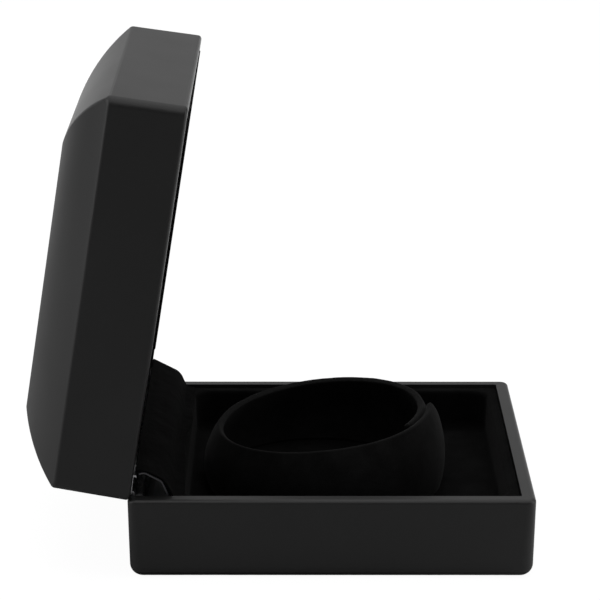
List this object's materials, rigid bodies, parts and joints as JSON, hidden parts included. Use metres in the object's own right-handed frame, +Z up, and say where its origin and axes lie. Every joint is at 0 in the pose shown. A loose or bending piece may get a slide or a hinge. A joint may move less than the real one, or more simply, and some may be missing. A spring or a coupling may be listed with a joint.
{
  "type": "bracelet box",
  "caption": "Square hinged case that holds one bracelet on a velvet collar, with a snap hinge and a light in its lid.",
  "frame": {"origin": "centre of the base's underside, on the surface that the box stands on", "axes": "+Z up, the front of the box faces -Y, the hinge runs along X at the rear, and the lid stands at its open stop"},
  "size_m": [0.095, 0.1266, 0.1206],
  "materials": {
    "shell": "soft matt black moulding",
    "velvet": "black flocked velvet",
    "spring_steel": "plain spring steel",
    "pin_steel": "drawn steel",
    "rivet_steel": "plated steel",
    "screw_steel": "zinc plated steel",
    "bezel": "polished black moulding",
    "lens": "clear moulded lens",
    "lamp": "clear lamp body",
    "board": "green circuit board",
    "holder": "plain black moulding",
    "cell": "bright steel can",
    "contact": "nickel plated strip",
    "switch": "plain black moulding",
    "plunger": "natural white moulding",
    "red_wire": "red insulation",
    "black_wire": "black insulation"
  },
  "bodies": {
    "base": {"base_shell": "shell", "bottom_cover": "shell", "bottom_screws": "screw_steel", "tray_insert": "velvet", "bangle_collar": "velvet", "hinge_base_leaf": "spring_steel", "hinge_pin": "pin_steel", "base_leaf_rivets": "rivet_steel", "snap_spring_plate": "spring_steel", "spring_plate_screws": "screw_steel", "hinge_cover": "velvet"},
    "lid": {"lid_shell": "shell", "hinge_lid_leaf": "spring_steel", "lid_leaf_rivets": "rivet_steel", "lid_liner": "velvet", "light_bezel": "bezel", "light_lens": "lens", "led_lamp": "lamp", "light_board": "board", "board_screws": "screw_steel", "battery_holder": "holder", "coin_cells": "cell", "battery_contact_plus": "contact", "battery_contact_minus": "contact", "battery_door": "holder", "door_screws": "screw_steel", "switch_body": "switch", "switch_spring": "spring_steel", "red_lead": "red_wire", "black_lead": "black_wire", "switch_lead": "red_wire"},
    "switch_plunger": {"switch_plunger": "plunger"}
  },
  "joints": [
    {"name": "lid_hinge", "type": "hinge", "parent": "base", "child": "lid", "pos_m": [0, 0.04915, 0.0207], "axis": [1, 0, 0], "range_deg": [0, 81]},
    {"name": "plunger_press", "type": "slide", "parent": "lid", "child": "switch_plunger", "axis": [0, 0.9877, 0.1564], "range_m": [0, 0.0008], "deforming": ["switch_spring"]}
  ],
  "couplings": [
    {"joint": "plunger_press", "follows": "lid_hinge", "m_per_rad": 0.0005658}
  ]
}
